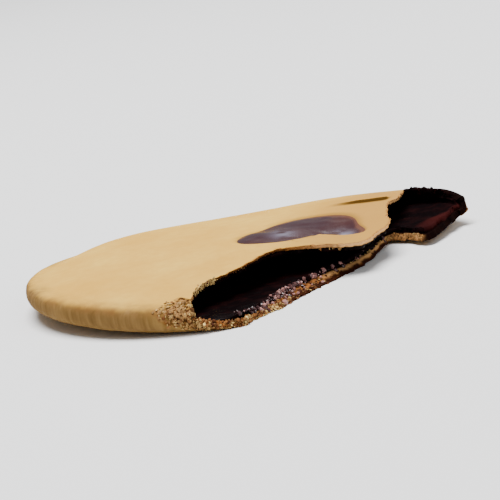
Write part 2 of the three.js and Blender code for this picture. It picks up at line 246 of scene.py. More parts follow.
def tear_point(curve, t, back, seed, rough=1.0):
    """The torn edge at share t, moved `back` into the crust, with ragged waves of four sizes."""
    share = np.clip(t, 0, 1) * (len(curve) - 1)
    index = np.arange(len(curve))
    point = read_curve(share, index, curve)
    along = unit(read_curve(share, index, np.gradient(curve, axis=0)))
    place = np.concatenate([point, np.full_like(point[:, :1], seed)], -1)
    ragged = 0.44 * uneven(point[:, 0], point[:, 1], 9, seed) + layered(place, *TEAR_JAGS)
    ends = np.minimum(1, np.minimum(0.25 + 30 * t, 12 * (1 - t)))
    inward = back * np.minimum(1, 0.35 + 8 * t) - rough * ends * ragged
    return np.stack([point[:, 0] - along[:, 1] * inward, point[:, 1] + along[:, 0] * inward], -1)


def shelf(t):
    """How far the torn floor slopes in: least at both ends and 4.4 mm where the crumb band is widest."""
    return SHELF["ends"] + SHELF["swell"] * bell(t, SHELF["middle"], SHELF["reach"])


def navel_reach(angle):
    """The navel's outline as a share of its oval: three waves make it uneven, as the sugar burst out."""
    return 1 + sum(height * np.sin(count * angle + phase) for height, count, phase in NAVEL_WAVES)


def navel_share(x, y):
    """How far a place lies from the navel's middle, as a share of the outline's reach that way."""
    dx, dy = x - NAVEL_AT[0], y - NAVEL_AT[1]
    along = (dx * np.cos(NAVEL_TURN) + dy * np.sin(NAVEL_TURN)) / NAVEL_HALF[0]
    across = (dy * np.cos(NAVEL_TURN) - dx * np.sin(NAVEL_TURN)) / NAVEL_HALF[1]
    angle = np.arctan2(across, along)
    return np.hypot(along, across) / navel_reach(angle)


def crease_place(x, y):
    """The share along the crease, and the distance across it from its S-shaped middle line."""
    (x0, y0), (x1, y1) = CREASE["from"], CREASE["to"]
    length = np.hypot(x1 - x0, y1 - y0)
    share = ((x - x0) * (x1 - x0) + (y - y0) * (y1 - y0)) / length**2
    across = ((y - y0) * (x1 - x0) - (x - x0) * (y1 - y0)) / length
    wander = 0.25 * noise(on_line(share * 9), 1, 31)
    return share, across - CREASE["bend"] * np.sin(2 * np.pi * np.clip(share, 0, 1)) - wander


def crease_height(x, y):
    """The crease: a crack, faint at its left end, whose far side curled up as the crust dried."""
    share, across = crease_place(x, y)
    strength = between(share, (0, 0.55), (0.92, 1))
    crack, lip = bell(across, -0.35, 0.5), bell(across, 0.75, 1.1)
    return strength * (CREASE["lip"] * lip - CREASE["depth"] * crack)


def crease_brown_and_shade(x, y):
    """Where the crease is darkened, by browning and by painted shade of the crack: 1 along the crack and up
    the face of its lip.
    """
    share, across = crease_place(x, y)
    strength = between(share, (-0.05, 0.4), (0.94, 1.01))
    return strength * np.exp(-((across / 2.6) ** 4))


def navel_lip(x, y):
    """The crust's height round the navel: a low swollen lip, and a dish inside it for the sugar."""
    share = navel_share(x, y)
    lip = NAVEL_LIP["rise"] * bell(share, NAVEL_LIP["at"], NAVEL_LIP["reach"])
    return lip - NAVEL_DISH["depth"] * (1 - smooth(share, *NAVEL_DISH["edge"]))


def drawn_to_features(x, y, hold):
    """Draws the lines of the mesh in to the navel's outline and to the crease, where detail is finest."""
    share = navel_share(x, y)
    pulled = 1 + (share - 1) * (1 - DRAWN_IN["navel"] * bell(share, 1, 0.13) * hold)
    scale = np.where(share > 1e-6, pulled / np.maximum(share, 1e-6), 1)
    x, y = NAVEL_AT[0] + (x - NAVEL_AT[0]) * scale, NAVEL_AT[1] + (y - NAVEL_AT[1]) * scale
    along, across = crease_place(x, y)
    near = bell(across, 0, 2.6) * between(along, (-0.2, 0.1), (1, 1.2))
    return x, y - DRAWN_IN["crease"] * across * near * hold


UPPER_CURVE, LOWER_CURVE = tear_curve(UPPER_TEAR), tear_curve(LOWER_TEAR)


def folded_layer(t, rows, depths, back, lumps=None, rough=(1.0, 1.0)):
    """One layer of the folded sheet as (columns, rows, 3): from the upper tear over the top, round the
    rim and along the floor to the lower tear. In plan each column runs straight from tear to rim, but
    for where it is drawn in to the navel and the crease, and its rows stand closest at the tears."""
    top_rows, rim_rows, floor_rows = rows
    turn = top_turn(t)
    shoulder = rim_point(t, turn, depths)
    under = top_height(shoulder[:, 0], shoulder[:, 1]) - shoulder[:, 2]
    torn = tear_point(UPPER_CURVE, t / WALL_ALONE, back[0], 1, rough[0])
    reach = np.hypot(shoulder[:, 0], shoulder[:, 1])
    lip = np.maximum(0.35, 1.2 - back[0]) + layered(shoulder, (0.35, 1.3, 3), (0.2, 0.5, 4))
    alone = shoulder[:, :2] * (1 - np.maximum(lip, 0.15) / reach)[:, None]
    upper = np.where((t < WALL_ALONE)[:, None], torn, alone)
    w = (1 - (np.arange(top_rows) / top_rows) ** ROW_SPACING["top"])[None, :, None]
    plan = mix(shoulder[:, None, :2], upper[:, None], w)
    from_tear = np.linalg.norm(plan - upper[:, None], axis=-1)
    x, y = drawn_to_features(plan[..., 0], plan[..., 1], smooth(from_tear, 0.5, 2.5))
    skin = 1 - min(1, depths["roof"])
    z = top_height(x, y) - under[:, None] + skin * (navel_lip(x, y) + crease_height(x, y))
    if lumps:
        z = z - lumps["roof"](x, y)
    top = np.stack([x, y, z], -1)
    down = mix(turn[:, None], -np.pi / 2, np.arange(rim_rows + 1)[None] / rim_rows)
    rim = rim_point(t[:, None], down, depths)
    heel = rim[:, -1]
    lower = tear_point(LOWER_CURVE, t, back[1], 2, rough[1])
    w = ((np.arange(1, floor_rows + 1) / floor_rows) ** ROW_SPACING["floor"])[None, :, None]
    plan = mix(heel[:, None, :2], lower[:, None], w)
    x, y = plan[..., 0], plan[..., 1]
    z = depths["floor"] + bow(x, y)
    if lumps:
        z = z + lumps["floor"](x, y) * np.minimum(1, 4 * w[..., 0])
    return np.concatenate([top, rim, np.stack([x, y, z], -1)], axis=1)


def lattice_sides(shape):
    """The six sides of a lattice of points as quads that face out of it, as indices into it."""
    at = np.arange(np.prod(shape)).reshape(shape)

    def side(grid, turned):
        quads = np.stack([grid[:-1, :-1], grid[1:, :-1], grid[1:, 1:], grid[:-1, 1:]], -1).reshape(-1, 4)
        return quads[:, ::-1] if turned else quads

    sides = [side(at[:, :, 0], True), side(at[:, :, -1], False), side(at[:, 0], False)]
    sides += [side(at[:, -1], True), side(at[0], True), side(at[-1], False)]
    return np.concatenate(sides)


def used_only(points, faces):
    """The points that faces use, the faces with new numbers, and which points those were."""
    used, new = np.unique(faces, return_inverse=True)
    return points[used], new.reshape(faces.shape), used


def enclosed(points, faces):
    """Six times the volume inside quads or triangles: the sum of the signed cones to the origin."""
    corners = points[faces]
    total = np.einsum("ij,ij->", corners[:, 0], np.cross(corners[:, 1], corners[:, 2]))
    if faces.shape[1] == 4:
        total += np.einsum("ij,ij->", corners[:, 0], np.cross(corners[:, 2], corners[:, 3]))
    return total


def outward_faces(points, faces):
    return faces[:, ::-1] if enclosed(points, faces) < 0 else faces


def closed_sheet(lattice):
    """The outer surface of a lattice: its points, its faces, and which of the lattice's points it has."""
    points, faces, used = used_only(lattice.reshape(-1, 3), lattice_sides(lattice.shape[:3]))
    return points, outward_faces(points, faces), used


def outward_normals(points, faces):
    """Each point's normal: the sum of the normals of its faces, from their crossed diagonals."""
    corners = points[faces]
    if faces.shape[1] == 4:
        across = np.cross(corners[:, 2] - corners[:, 0], corners[:, 3] - corners[:, 1])
    else:
        across = np.cross(corners[:, 1] - corners[:, 0], corners[:, 2] - corners[:, 0])
    total = np.zeros_like(points)
    for corner in range(faces.shape[1]):
        np.add.at(total, faces[:, corner], across)
    return total / np.maximum(np.linalg.norm(total, axis=1, keepdims=True), 1e-12)


def make_piece(name, points, faces, material, marks, node, smooth_faces=True):
    """A mesh piece from points in millimetres, with a float attribute for each of `marks`."""
    faces = outward_faces(points, faces)
    mesh = bpy.data.meshes.new(name)
    sides = faces.shape[1]
    mesh.vertices.add(len(points))
    mesh.vertices.foreach_set("co", ((points - ORIGIN) / 1000).astype(np.float32).ravel())
    mesh.loops.add(faces.size)
    mesh.loops.foreach_set("vertex_index", faces.astype(np.int32).ravel())
    mesh.polygons.add(len(faces))
    mesh.polygons.foreach_set("loop_start", np.arange(0, faces.size, sides, dtype=np.int32))
    mesh.update(calc_edges=True)
    mesh.polygons.foreach_set("use_smooth", np.full(len(faces), smooth_faces))
    for mark, values in marks.items():
        layer = mesh.attributes.new(mark, "FLOAT", "POINT")
        layer.data.foreach_set("value", values.astype(np.float32))
    mesh.materials.append(material)
    piece = bpy.data.objects.new(name, mesh)
    bpy.context.scene.collection.objects.link(piece)
    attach(piece, "root")
    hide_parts(node)


def paint(red, green, blue):
    """A colour given as screen values from 0 to 255, made linear."""
    share = np.array([red, green, blue]) / 255
    return (*np.where(share <= 0.04045, share / 12.92, ((share + 0.055) / 1.055) ** 2.4), 1)


def put(tree, kind, inputs=(), **settings):
    """Adds a shader node. A socket given as an input is linked, and a number or colour is set."""
    made = tree.nodes.new(kind)
    for name, value in settings.items():
        setattr(made, name, value)
    for name, value in dict(inputs).items():
        if isinstance(value, bpy.types.NodeSocket):
            tree.links.new(value, made.inputs[name])
        else:
            made.inputs[name].default_value = value
    return made


def blend(tree, share, first, second):
    return put(tree, "ShaderNodeMix", {0: share, 6: first, 7: second}, data_type="RGBA").outputs[2]


def span(tree, value, low, high, to_low=0.0, to_high=1.0):
    """A value between low and high, carried over to another range and kept inside it."""
    limits = {"Value": value, 1: low, 2: high, 3: to_low, 4: to_high}
    return put(tree, "ShaderNodeMapRange", limits).outputs[0]


def sums(tree, operation, first, second):
    return put(tree, "ShaderNodeMath", {0: first, 1: second}, operation=operation).outputs[0]


def speckle(tree, place, scale, detail):
    return put(tree, "ShaderNodeTexNoise", {"Vector": place, "Scale": scale, "Detail": detail}).outputs["Fac"]


def bumped(tree, strength, distance, height):
    """A surface normal tilted by a height, given in shares of `distance` in metres."""
    inputs = {"Strength": strength, "Distance": distance, "Height": height}
    return put(tree, "ShaderNodeBump", inputs).outputs[0]


def new_group(name, results):
    """A shader group that takes a place and a scale, and gives a number for each name in `results`."""
    tree = bpy.data.node_groups.new(name, "ShaderNodeTree")
    for taken, kind in (("Place", "NodeSocketVector"), ("Scale", "NodeSocketFloat")):
        tree.interface.new_socket(taken, in_out="INPUT", socket_type=kind)
    for result in results:
        tree.interface.new_socket(result, in_out="OUTPUT", socket_type="NodeSocketFloat")
    come, go = put(tree, "NodeGroupInput"), put(tree, "NodeGroupOutput")
    return tree, come.outputs["Place"], come.outputs["Scale"], go.inputs


def use_group(tree, group, place, scale):
    made = put(tree, "ShaderNodeGroup", node_tree=group)
    tree.links.new(place, made.inputs["Place"])
    made.inputs["Scale"].default_value = scale
    return made.outputs


def grain_group():
    """Grain: noise at three scales on a piece, as a broad mask, a fine mask and a height."""
    tree, place, scale, go = new_group("dough grain", ("Broad", "Fine", "Height"))
    broad, middle, fine = (
        speckle(tree, place, sums(tree, "MULTIPLY", scale, size), detail)
        for size, detail in ((70.0, 4.0), (420.0, 5.0), (1500.0, 3.0))
    )
    pore_scale = sums(tree, "MULTIPLY", scale, 900.0)
    pores = put(tree, "ShaderNodeTexVoronoi", {"Vector": place, "Scale": pore_scale})
    pits = span(tree, pores.outputs["Distance"], 0.0, 0.35)
    height = sums(tree, "ADD", sums(tree, "MULTIPLY", middle, 0.6), sums(tree, "MULTIPLY", fine, 0.25))
    height = sums(tree, "ADD", height, sums(tree, "MULTIPLY", pits, 0.12))
    tree.links.new(span(tree, broad, 0.3, 0.7), go["Broad"])
    tree.links.new(span(tree, middle, 0.32, 0.68), go["Fine"])
    tree.links.new(height, go["Height"])
    return tree


GRAIN = grain_group()


def new_material(name):
    material = bpy.data.materials.new(name)
    material.use_nodes = True
    tree = material.node_tree
    tree.nodes.clear()
    return material, tree, put(tree, "ShaderNodeTexCoord").outputs["Object"]


def finish_material(tree, inputs):
    shader = put(tree, "ShaderNodeBsdfPrincipled", inputs)
    tree.links.new(shader.outputs[0], put(tree, "ShaderNodeOutputMaterial").inputs["Surface"])


def mark(tree, name):
    return put(tree, "ShaderNodeAttribute", attribute_name=name).outputs["Fac"]


def crust_material():
    """Baked crust: pale tan skin, browned by the marks of the rim, the tears, the stains and the soak, and
    painted shade.
    """
    material, tree, place = new_material("baked_crust")
    grain = use_group(tree, GRAIN, place, 1.0)
    broad, fine = grain["Broad"], grain["Fine"]
    skin = blend(tree, broad, paint(206, 158, 68), paint(217, 175, 84))
    skin = blend(tree, span(tree, fine, 0, 1, 0, 0.35), skin, paint(196, 148, 62))
    # Darker towards the right on top, and browned in blotches underneath.
    skin = blend(tree, mark(tree, "baked"), skin, paint(176, 129, 62))
    # Down the side and underneath, the skin is painted darker as shade, with streaks along the rim.
    streaks = put(tree, "ShaderNodeMapping", {"Vector": place, "Scale": (1, 1, 0.12)}).outputs[0]
    lines = speckle(tree, streaks, 820.0, 4.0)
    side = blend(tree, span(tree, lines, 0.3, 0.7), paint(90, 66, 38), paint(128, 99, 61))
    colour = blend(tree, sums(tree, "MULTIPLY", mark(tree, "side"), 0.97), skin, side)
    # Browning under the rim, and painted shade along the upper torn edge.
    browning_and_shade = sums(tree, "MULTIPLY", mark(tree, "browning_and_shade"), span(tree, lines, 0.36, 0.6, 0.3, 1.0))
    colour = blend(tree, browning_and_shade, colour, paint(104, 62, 24))
    # Stains round the navel; browning and painted shade in the crease.
    colour = blend(tree, mark(tree, "stain_and_shade"), colour, paint(66, 42, 5))
    # Dark specks in the crumbly corner are painted shade in the gaps between its crumbs.
    specks = speckle(tree, place, 1300.0, 3.0)
    gaps = sums(tree, "MULTIPLY", mark(tree, "crumbly"), span(tree, specks, 0.42, 0.56, 0.3, 1.0))
    crumb = blend(tree, fine, paint(106, 57, 22), paint(162, 104, 50))
    crumb = blend(tree, mark(tree, "pale"), crumb, paint(224, 172, 112))
    # Scorch and painted shade darken the crumb under the lower lip and on the upper torn face.
    crumb = blend(tree, mark(tree, "scorched"), crumb, paint(48, 20, 8))
    colour = blend(tree, mark(tree, "torn"), colour, crumb)
    colour = blend(tree, gaps, colour, paint(70, 42, 18))
    # Soaked sugar, and painted shade on the upper torn face, make the crumb near black.
    soak = blend(tree, fine, paint(8, 2, 2), paint(20, 6, 4))
    colour = blend(tree, mark(tree, "soak_and_shade"), colour, soak)
    rough = span(tree, mark(tree, "soak_and_shade"), 0, 1, 0.75, 0.9)
    normal = bumped(tree, 0.35, 0.0002, grain["Height"])
    inputs = {"Base Color": colour, "Roughness": rough, "Normal": normal, "Specular IOR Level": 0.02}
    finish_material(tree, inputs)
    return material


# The sheet is a lattice. Its columns are placed by t, the share of the way from the tear's near end
# round the rim to its far end, and stand closest near both ends
CRUST_COLUMNS, CRUST_ROWS, CRUST_LAYERS = 470, (46, 36, 10), 6
COLUMN_SPACING = {"columns": (0, 0.38, 0.86, 1), "t": (0, 0.28, 0.92, 1)}
SHEET_LENGTH, FAR_FROM_TEARS = 250, 99
even = np.linspace(0, 1, CRUST_COLUMNS + 1)
crust_t = np.interp(even, COLUMN_SPACING["columns"], COLUMN_SPACING["t"])
layers = []
for layer in range(CRUST_LAYERS + 1):
    share = layer / CRUST_LAYERS
    depths = {"roof": WALL["roof"] * share, "floor": WALL["floor"] * share}
    back = (CRUMB_SLOPE * share, shelf(crust_t) * share)
    layers.append(folded_layer(crust_t, CRUST_ROWS, depths, back))
lattice = np.stack(layers, axis=2)

# The shape is centred as the solids are: their left and far sides are the same smooth rim
low, high = (np.array(corner) * 1000 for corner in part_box("crust"))
ORIGIN = np.array([lattice[..., 0].min() - low[0], lattice[..., 1].max() - high[1], 0])

# What each place of the sheet needs to know: its depth, and its distance in mm from tears and ends
top_rows, rim_rows, floor_rows = CRUST_ROWS
row_numbers, depth_shares = np.arange(lattice.shape[1]), np.arange(CRUST_LAYERS + 1) / CRUST_LAYERS
column_t, row, deep = np.meshgrid(crust_t, row_numbers, depth_shares, indexing="ij")
to_upper = np.linalg.norm(lattice - lattice[:, :1, :1], axis=-1)
to_lower = np.linalg.norm(lattice - lattice[:, -1:, :1], axis=-1)
on_top, on_floor = row < top_rows, row > top_rows + rim_rows
x, y, z = np.moveaxis(lattice, -1, 0)
angle = np.arctan2(y, x)
above = (z - bow(x, y)) / rim_height(angle)
fringe = np.where(on_top, to_upper, np.where(on_floor, to_lower, FAR_FROM_TEARS))
at_near_end, at_far_end = column_t * SHEET_LENGTH, (1 - column_t) * SHEET_LENGTH
fringe = np.minimum(fringe, np.minimum(at_near_end, at_far_end))
patchy = layered(lattice, (1, 1.6, 21), (0.6, 0.7, 22))
outside = np.clip(1 - 3 * deep, 0, 1)
upper_face, lower_face = row == 0, row == lattice.shape[1] - 1
upper_half = row < top_rows + rim_rows // 2
beyond_tip = smooth(column_t, 0.765, 0.805)
wall_alone = smooth(column_t, 0.9, 0.925)
along_neck = between(column_t, (0.29, 0.38), (0.66, 0.7))
at_tip = between(column_t, (0.64, 0.68), (0.78, 0.82))

# The torn crumb: every face inside the sheet, and the near corner, where the skin crumbled away
crumbly = smooth(8 - at_near_end + 2.5 * patchy, 0, 3) * (row >= top_rows - 14) * (row < top_rows + rim_rows)
crumbly = crumbly * outside
torn = np.where(deep > 0, 1, bell(fringe, 0, 0.4))
torn = np.maximum(torn, 0.9 * crumbly * smooth(patchy, -0.3, 0.4))

# Where sugar soaked into it, from the hollow, over the far end of the upper edge and beyond the tip; and
# painted shade on the upper torn face over the near half of the mouth
soak_and_shade_from = mix(0.9, 0.35, between(column_t, (0.05, 0.09), (0.24, 0.36)))
soaks = [
    smooth(deep, 0.75, 1) * smooth(fringe + 0.4 * patchy, 0.1, 0.9),
    # Painted shade: over the near half of the mouth, the upper torn face is dark from deeper in.
    smooth(deep + 0.12 * patchy, soak_and_shade_from, soak_and_shade_from + 0.25) * upper_face,
    wall_alone * smooth(2.8 - to_upper, 0, 1.0) * upper_half,
    smooth(column_t, 0.9, 0.915) * upper_face,
    smooth(column_t, 0.93, 0.95) * (deep > 0),
    beyond_tip * lower_face,
    beyond_tip * smooth(2 - to_lower, 0, 1) * on_floor,
    smooth(deep + 0.25 * patchy, 0.8, 1.05) * lower_face * (1 - along_neck),
]
soak_and_shade = np.max(soaks, axis=0)

# Where the crumb is pale, and where it is dark: scorched, and in painted shade, at the outer edge of the
# lower lip, and in painted shade along the upper torn face
pale = 0.8 * smooth(column_t, 0.28, 0.42) * upper_face + 0.35 * at_tip * lower_face
pale = np.maximum(pale, 0.65 * smooth(deep, 0.3, 0.55) * along_neck * lower_face)
corner = smooth(0.05 - column_t, 0, 0.03) * upper_half
pale = np.maximum(pale, 0.7 * corner * smooth(patchy, -0.5, 0.8))
# The outer edge of the lower lip is browned and in painted shade.
scorch_and_shade_up_to = mix(0.2 + 0.15 * smooth(column_t, 0.1, 0.2), 0.35, along_neck)
scorched = (1 - smooth(deep + 0.2 * patchy, scorch_and_shade_up_to, scorch_and_shade_up_to + 0.3)) * lower_face
scorched = scorched * smooth(column_t, 0.03, 0.1) * (1 - 0.7 * at_tip)
# Painted shade on the upper torn face, over the near half of the mouth.
upper_edge_shade = 0.6 * smooth(0.32 - column_t, 0, 0.1) * smooth(column_t, 0.03, 0.08)
scorched = np.maximum(scorched, upper_edge_shade * upper_face)

# The skin: streaked down its side, and darker there and underneath as painted shade, though a little lighter
# at the foot as a painted highlight of the rounded bottom edge. It is browned in blotches under the rim, with
# painted shade along the fold of the upper torn edge; darker towards the right on top and browned in blotches
# underneath; stained round the navel; and darkened in the crease by browning and painted shade
uneven_side = 0.05 * noise(lattice, 9, 27) + 0.03 * patchy
# Painted shade darkens the side and underside. At the very foot it is a quarter weaker: a painted highlight
# along the rounded bottom edge.
side = np.where(on_top & (row < top_rows - 8), 0, 1 - smooth(above + uneven_side, 0.78, 1.08)) * outside
side = side * mix(0.75, 1, smooth(above, 0.0, 0.12)) * (0.95 + 0.05 * noise(lattice, 12, 28))
side = side * (1 - 0.15 * smooth(0.06 - column_t, 0, 0.04))
blotches = smooth(layered(lattice, (1, 11, 23), (0.6, 3.5, 24)), -0.45, 0.7)
brown_band = bell(above, 0.83, 0.15) * (row >= top_rows - 12) * (~on_floor)
browning_and_shade = 0.6 * brown_band * blotches * outside
# Painted shade on the top skin along the upper torn edge, over the near half of the mouth.
fold_shade = bell(to_upper, 0, 0.6) * smooth(0.31 - column_t, 0, 0.06) * smooth(column_t, 0.02, 0.06)
browning_and_shade = np.maximum(browning_and_shade, 0.8 * fold_shade * on_top * outside)
navel = navel_share(x, y)
# Darker towards the right on top.
baked = 0.85 * smooth(x - 0.25 * y + 5 * noise(lattice, 14, 26), 2, 30) * on_top * outside
baked = np.maximum(baked, 0.8 * smooth(noise(lattice, 9, 29), -0.4, 0.5) * on_floor * outside)
beyond_navel = smooth(y - NAVEL_AT[1] + 0.3 * (x - NAVEL_AT[0]), 0, 8)
reach = 0.025 + 0.06 * beyond_navel + 0.012 * noise(lattice, 2.5, 25)
stain_and_shade = 0.3 * bell(np.maximum(navel, 0.985), 0.985, np.maximum(reach, 0.02))
# In the crease the darkening is browning and painted shade of the crack.
stain_and_shade = np.maximum(stain_and_shade, 0.95 * crease_brown_and_shade(x, y)) * on_top * outside

# The marks go to the material, and the relief of crumb, skin and side moves the points
points, faces, used = closed_sheet(lattice)
marks = {"torn": torn, "soak_and_shade": soak_and_shade, "side": side, "browning_and_shade": browning_and_shade, "stain_and_shade": stain_and_shade, "crumbly": crumbly}
marks.update(pale=pale, scorched=scorched, baked=baked)
marks = {name: values.reshape(-1)[used] for name, values in marks.items()}
smoother = (along_neck * lower_face).reshape(-1)[used]
normals = outward_normals(points, faces)
crumb_relief = 0.26 * (2 * np.abs(noise(points, 1.3, 41)) - 0.6) + 0.15 * noise(points, 0.6, 42)
skin_relief = layered(points, (0.045, 8, 43), (0.022, 2.4, 44), (0.008, 1.0, 45))
around = np.arctan2(points[:, 1], points[:, 0]) * DISC_RADIUS
fluting = np.stack([around, points[:, 2] * 0.2, around * 0], -1)
side_relief = layered(fluting, (0.07, 2.3, 46), (0.025, 0.9, 47))
crumb_share = marks["torn"] * (1 - 0.85 * marks["soak_and_shade"]) * (1 - 0.6 * smoother)
relief = mix(skin_relief, crumb_relief, crumb_share)
relief = relief + side_relief * marks["side"] * (1 - marks["torn"])
relief = relief + marks["crumbly"] * layered(points, (0.3, 1.4, 48), (0.2, 0.6, 49))
crust_points = points + normals * relief[:, None]
crust_points[:, 2] = np.maximum(crust_points[:, 2], LOWEST_CRUST)
make_piece("crust_shell", crust_points, faces, crust_material(), marks, "crust")


# The brown sugar coat. As the dough baked, the sugar melted and boiled, and it set as a dark glossy
# film that clings to the whole inside of the shell, thicker and lumpy on the floor.
SUGAR_DEPTHS = {
    "hidden": {"roof": 0.95, "floor": 1.3},
    "open": {"roof": 1.95, "floor": 2.35},
}
COAT_SET_BACK = 0.25
COAT_EDGE_LENGTH = 110


def gloss_group():
    """Set sugar: small waves and blisters as a height, and a mask of where it is thin and red."""
    tree, place, scale, go = new_group("set sugar", ("Height", "Thin"))
    wave = speckle(tree, place, sums(tree, "MULTIPLY", scale, 240.0), 3.0)
    blisters = {"Vector": place, "Scale": sums(tree, "MULTIPLY", scale, 620.0), "Smoothness": 0.6}
    blister = put(tree, "ShaderNodeTexVoronoi", blisters, feature="SMOOTH_F1").outputs["Distance"]
    tree.links.new(sums(tree, "SUBTRACT", wave, sums(tree, "MULTIPLY", blister, 0.3)), go["Height"])
    tree.links.new(span(tree, wave, 0.45, 0.7), go["Thin"])
    return tree


GLOSS = gloss_group()


def sugar_material(name, dark, light, roughness, shine, bump, scale=1.0):
    """Set sugar, from dark where it is thick to light where it is marked or found to be thin. One
    mark paints a grey sheen on it, a painted reflection, and another makes it dull and matt."""
    material, tree, place = new_material(name)
    gloss = use_group(tree, GLOSS, place, scale)
    thin = sums(tree, "MAXIMUM", mark(tree, "thin"), sums(tree, "MULTIPLY", gloss["Thin"], 0.25))
    colour = blend(tree, thin, dark, light)
    colour = blend(tree, mark(tree, "painted_sheen"), colour, paint(128, 124, 142))
    rough = span(tree, mark(tree, "dull"), 0, 1, roughness, 0.95)
    normal = bumped(tree, bump, 0.0006, gloss["Height"])
    inputs = {"Base Color": colour, "Roughness": rough, "Normal": normal, "Specular IOR Level": shine}
    finish_material(tree, inputs)
    return material


def coat_lumps(x, y, seed, height):
    """Lumps that stand `height` at most: half waves 8 mm long, with smaller bumps on them."""
    place = np.stack([x, y, np.full_like(x, seed)], -1)
    small = 0.5 + 0.5 * noise(place, 2.2, seed + 50)
    return height * (0.35 * (1 + uneven(x, y, 8, seed)) + 0.5 * small**2)


def edge_of_coat(base, seed, t):
    """How far the coat's edge stays back from the torn edge: `base`, made uneven, 0.25 at least."""
    wander = layered(on_line(t * COAT_EDGE_LENGTH), (0.5, 3.1, seed), (0.35, 1.1, seed + 1))
    return np.maximum(0.25, base + wander)


COAT_COLUMNS, COAT_ROWS = 420, (44, 14, 24)
coat_t = np.linspace(0.012, 0.993, COAT_COLUMNS + 1)
coat_back = (edge_of_coat(1.3, 61, coat_t), shelf(coat_t) * 0.8 + edge_of_coat(0.7, 63, coat_t))
coat_lump = {"roof": lambda x, y: coat_lumps(x, y, 4, 0.3), "floor": lambda x, y: coat_lumps(x, y, 2, 0.6)}
open_back = [back + COAT_SET_BACK for back in coat_back]
hidden = folded_layer(coat_t, COAT_ROWS, SUGAR_DEPTHS["hidden"], coat_back, None, (0, 0))
shown = folded_layer(coat_t, COAT_ROWS, SUGAR_DEPTHS["open"], open_back, coat_lump, (0, 0))
coat_lattice = np.stack([hidden, shown], axis=2)
points, faces, used = closed_sheet(coat_lattice)
normals = outward_normals(points, faces)
relief = layered(points, (0.1, 1.7, 71), (0.06, 0.8, 72))

# Towards the tear's far end it is dull, and it is thin and red up the wall and near the lower lip
thin_at = np.broadcast_to(coat_t[:, None, None], coat_lattice.shape[:3]).reshape(-1)[used]
near_lip = 1 - (points[:, 1] + 2 - (points[:, 0] - 42)) / 4.2
thin = np.maximum(points[:, 0] / 8 - 6.8, 1.7 * near_lip) + 0.5 * noise(points, 5, 73)
thin = smooth(thin_at, 0.74, 0.9) * smooth(thin, 0, 1.3)
marks = {"thin": thin, "dull": smooth(thin_at, 0.66, 0.78)}
sugar = sugar_material("set_brown_sugar", paint(7, 2, 3), paint(48, 15, 14), 0.42, 0.02, 0.6)
coat_points = points + normals * relief[:, None]
make_piece("sugar_coat", coat_points, faces, sugar, marks, "brown_sugar")


# The navel. In the middle of the top the sugar broke through the crust as it boiled, filled the
# opening and set as one smooth glossy pool, level with the crust and thin towards its far edge.
POOL_SINK = 0.22
POOL_THICKNESS = 1.0
POOL_RINGS, POOL_SEGMENTS = 46, 300
SHEEN_SPOTS = [(0.6, {"at": (9, -8), "half": (3, 4.5)}), (0.9, {"at": (24, -10), "half": (2.4, 3)})]


def navel_outline(angle, share):
    """The place in plan at a share of the navel's uneven oval outline, in a direction of the oval."""
    reach = share * navel_reach(angle)
    along, across = NAVEL_HALF[0] * np.cos(angle) * reach, NAVEL_HALF[1] * np.sin(angle) * reach
    x = NAVEL_AT[0] + along * np.cos(NAVEL_TURN) - across * np.sin(NAVEL_TURN)
    y = NAVEL_AT[1] + along * np.sin(NAVEL_TURN) + across * np.cos(NAVEL_TURN)
    return x, y


def closed_round(rings, first, last):
    """A closed mesh from rings of points between two poles: points, and triangles that face one way."""
    count, segments = rings.shape[:2]
    points = np.concatenate([[first], rings.reshape(-1, 3), [last]])
    s = np.arange(segments)
    s_next = (s + 1) % segments
    start = 1 + np.arange(count)[:, None] * segments
    a, b = (start[:-1] + s).ravel(), (start[:-1] + s_next).ravel()
    c, d = (start[1:] + s).ravel(), (start[1:] + s_next).ravel()
    pole = len(points) - 1
    sides = [np.stack([0 * s, 1 + s, 1 + s_next], -1), np.stack([a, c, d], -1), np.stack([a, d, b], -1)]
    sides.append(np.stack([0 * s + pole, start[-1] + s_next, start[-1] + s], -1))
    return points, np.concatenate(sides)


pool_share = np.sin(np.linspace(0, np.pi / 2, POOL_RINGS + 1)[1:]) * 1.015
pool_angle = np.arange(POOL_SEGMENTS) * 2 * np.pi / POOL_SEGMENTS
x, y = navel_outline(pool_angle[None], pool_share[:, None])
place = np.stack([x, y, 0 * x], -1)
swell = 0.16 * np.sqrt(np.clip(1 - pool_share**2, 0, 1))[:, None]
waves = layered(place, (0.16, 6.5, 81), (0.06, 2.6, 82))
pool_top = top_height(x, y) - POOL_SINK + swell + waves * smooth(1 - pool_share, 0, 0.15)[:, None]
upper_rings = np.stack([x, y, pool_top], -1)
lower_rings = np.stack([x, y, top_height(x, y) - POOL_THICKNESS], -1)[::-1]
centre = np.array([*NAVEL_AT, 0])
middle_top = centre + [0, 0, upper_rings[0, :, 2].mean()]
middle_low = centre + [0, 0, lower_rings[-1, :, 2].mean()]
points, faces = closed_round(np.concatenate([upper_rings, lower_rings]), middle_top, middle_low)
to_far_side = (points[:, 1] - NAVEL_AT[1]) / NAVEL_HALF[1]
to_right_tip = smooth(points[:, 0], 26, 30.5)
thin = navel_share(points[:, 0], points[:, 1]) + 0.1 * to_far_side + 0.3 * to_right_tip
thin = smooth(thin + 0.1 * noise(points, 3, 83), 0.86, 1.1)

# Two grey patches of painted sheen, painted reflections, lie on its near side
painted_sheen = np.max([strength * hill(points[:, 0], points[:, 1], spot) for strength, spot in SHEEN_SPOTS], axis=0)
painted_sheen = painted_sheen * smooth(noise(points, 2.2, 84), -0.7, 0.4)
pool_sugar = sugar_material("navel_sugar", paint(50, 21, 28), paint(96, 58, 42), 0.22, 0.12, 0.2, 0.3)
make_piece("navel_pool", points, faces, pool_sugar, {"thin": thin, "painted_sheen": painted_sheen}, "brown_sugar")


